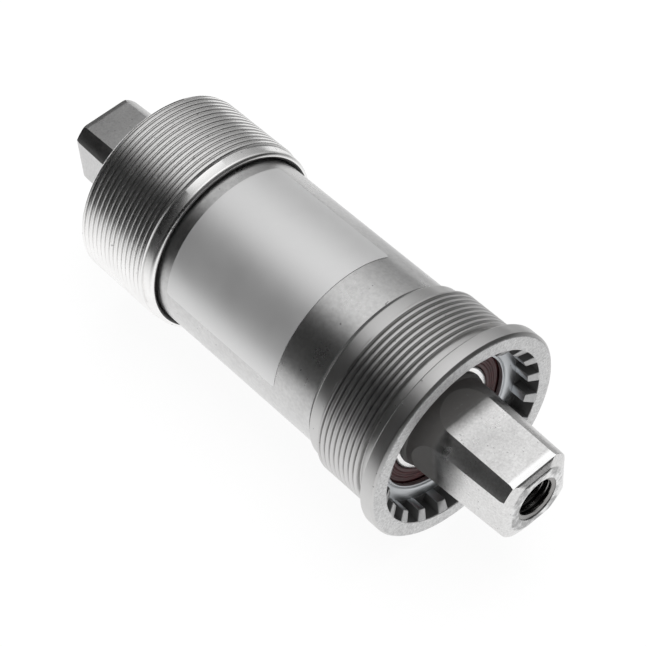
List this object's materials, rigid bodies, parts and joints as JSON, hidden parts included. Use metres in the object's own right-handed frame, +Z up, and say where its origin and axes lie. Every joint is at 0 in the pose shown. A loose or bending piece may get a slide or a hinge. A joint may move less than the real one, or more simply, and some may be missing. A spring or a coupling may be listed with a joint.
{
  "type": "bottom bracket",
  "caption": "Sealed cartridge bottom bracket with a square-taper spindle on ball bearings, a flanged drive-side cup and a removable non-drive cup.",
  "frame": {"origin": "on the spindle axis, midway between the two faces of the frame shell", "axes": "+Y along the spindle towards the non-drive (left) side, +Z up, +X completing the right-handed frame"},
  "size_m": [0.0381, 0.103, 0.038],
  "materials": {
    "spindle_steel": "ground chromium-molybdenum steel, satin",
    "tube_steel": "plated steel tube, satin",
    "cup_steel": "turned and nickel-plated steel",
    "foil": "blank silver foil",
    "bearing_steel": "ground bearing steel",
    "ball_steel": "polished bearing steel",
    "cage_plastic": "moulded polyamide",
    "seal_rubber": "dark red nitrile rubber",
    "core_steel": "pressed steel washer",
    "spacer_plastic": "moulded black plastic"
  },
  "bodies": {
    "cartridge": {"cartridge_tube": "tube_steel", "drive_side_cup": "cup_steel", "foil_label": "foil", "bearing_spacer": "spacer_plastic", "left_retaining_ring": "tube_steel", "right_outer_race": "bearing_steel", "right_outer_seal": "seal_rubber", "right_outer_seal_core": "core_steel", "right_inner_seal": "seal_rubber", "right_inner_seal_core": "core_steel", "left_outer_race": "bearing_steel", "left_outer_seal": "seal_rubber", "left_outer_seal_core": "core_steel", "left_inner_seal": "seal_rubber", "left_inner_seal_core": "core_steel"},
    "spindle": {"spindle": "spindle_steel", "right_inner_race": "bearing_steel", "left_inner_race": "bearing_steel"},
    "right_cage": {"right_balls": "ball_steel", "right_ball_cage": "cage_plastic"},
    "left_cage": {"left_balls": "ball_steel", "left_ball_cage": "cage_plastic"},
    "non_drive_cup": {"non_drive_cup": "cup_steel"}
  },
  "joints": [
    {"name": "spindle_spin", "type": "hinge", "parent": "cartridge", "child": "spindle", "pos_m": [0, 0, 0], "axis": [0, 1, 0], "continuous": true},
    {"name": "right_cage_spin", "type": "hinge", "parent": "cartridge", "child": "right_cage", "pos_m": [0, -0.0283, 0], "axis": [0, 1, 0], "continuous": true},
    {"name": "left_cage_spin", "type": "hinge", "parent": "cartridge", "child": "left_cage", "pos_m": [0, 0.026, 0], "axis": [0, 1, 0], "continuous": true},
    {"name": "non_drive_cup_off", "type": "slide", "parent": "cartridge", "child": "non_drive_cup", "axis": [0, 1, 0], "range_m": [0, 0.036]}
  ],
  "couplings": [
    {"joint": "right_cage_spin", "follows": "spindle_spin", "ratio": 0.4234},
    {"joint": "left_cage_spin", "follows": "spindle_spin", "ratio": 0.4234}
  ]
}
